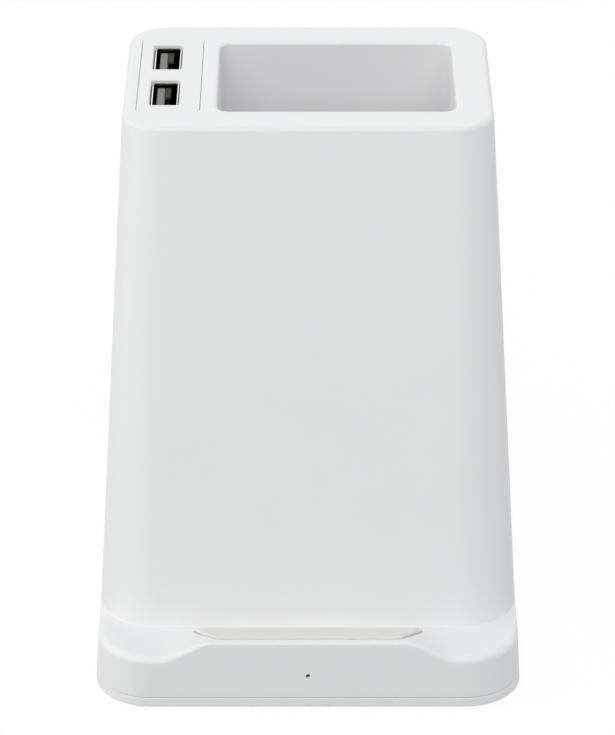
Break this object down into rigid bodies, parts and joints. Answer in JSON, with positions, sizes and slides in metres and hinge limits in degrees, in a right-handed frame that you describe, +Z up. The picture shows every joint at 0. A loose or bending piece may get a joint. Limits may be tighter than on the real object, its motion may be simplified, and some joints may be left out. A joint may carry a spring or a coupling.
{
  "type": "wireless charger pen holder",
  "caption": "Desk tower with a leaning wireless charging face, a ledge for a phone, an open pen well and upright USB-A sockets in the top.",
  "frame": {"origin": "centre of the footprint, on the plane under the four feet", "axes": "+Z up, -Y towards the leaning charging face and the ledge, +X to the right as seen from the front"},
  "size_m": [0.0906, 0.103, 0.1171],
  "materials": {
    "housing_plastic": "white moulded plastic, fine satin texture",
    "insert_plastic": "white moulded insert, fine matte texture",
    "silicone": "warm grey silicone, matte",
    "foot_rubber": "dark grey rubber, matte",
    "screw_steel": "dull zinc-plated steel",
    "socket_steel": "folded nickel-plated sheet",
    "contact_plating": "thin gold plating on spring sheet",
    "tongue_plastic": "grey moulded insulator",
    "black_plastic": "black moulded resin",
    "board_laminate": "green solder mask on glass laminate",
    "ferrite": "sintered, dark grey",
    "capacitor_ceramic": "tan ceramic",
    "clear_plastic": "clear acrylic, unlit",
    "coil_copper": "enamelled litz copper wire",
    "natural_plastic": "unpainted natural nylon",
    "cable_jacket": "grey soft sleeve"
  },
  "bodies": {
    "root": {"housing": "housing_plastic", "base_cover": "housing_plastic", "usb_panel": "insert_plastic", "rest_pad": "silicone", "foot_1": "foot_rubber", "foot_2": "foot_rubber", "foot_3": "foot_rubber", "foot_4": "foot_rubber", "cover_screw_1": "screw_steel", "cover_screw_2": "screw_steel", "cover_screw_3": "screw_steel", "cover_screw_4": "screw_steel", "usb_shell_rear": "socket_steel", "usb_shell_front": "socket_steel", "usb_tongue_rear": "tongue_plastic", "usb_tongue_front": "tongue_plastic", "contact_rear_1": "contact_plating", "contact_rear_2": "contact_plating", "contact_rear_3": "contact_plating", "contact_rear_4": "contact_plating", "contact_front_1": "contact_plating", "contact_front_2": "contact_plating", "contact_front_3": "contact_plating", "contact_front_4": "contact_plating", "usb_board": "board_laminate", "usb_board_screw": "screw_steel", "charger_board": "board_laminate", "board_screw_1": "screw_steel", "board_screw_2": "screw_steel", "board_screw_3": "screw_steel", "board_screw_4": "screw_steel", "controller_chip": "black_plastic", "driver_chip": "black_plastic", "inductor": "ferrite", "resonance_capacitor_1": "capacitor_ceramic", "resonance_capacitor_2": "capacitor_ceramic", "resonance_capacitor_3": "capacitor_ceramic", "status_led": "clear_plastic", "light_pipe": "clear_plastic", "inlet_shell": "socket_steel", "inlet_tongue": "black_plastic", "coil": "coil_copper", "ferrite_sheet": "ferrite", "coil_carrier": "natural_plastic", "carrier_screw_left": "screw_steel", "carrier_screw_right": "screw_steel", "usb_cable": "cable_jacket", "cable_plug_upper": "natural_plastic", "cable_plug_lower": "natural_plastic"}
  },
  "joints": []
}
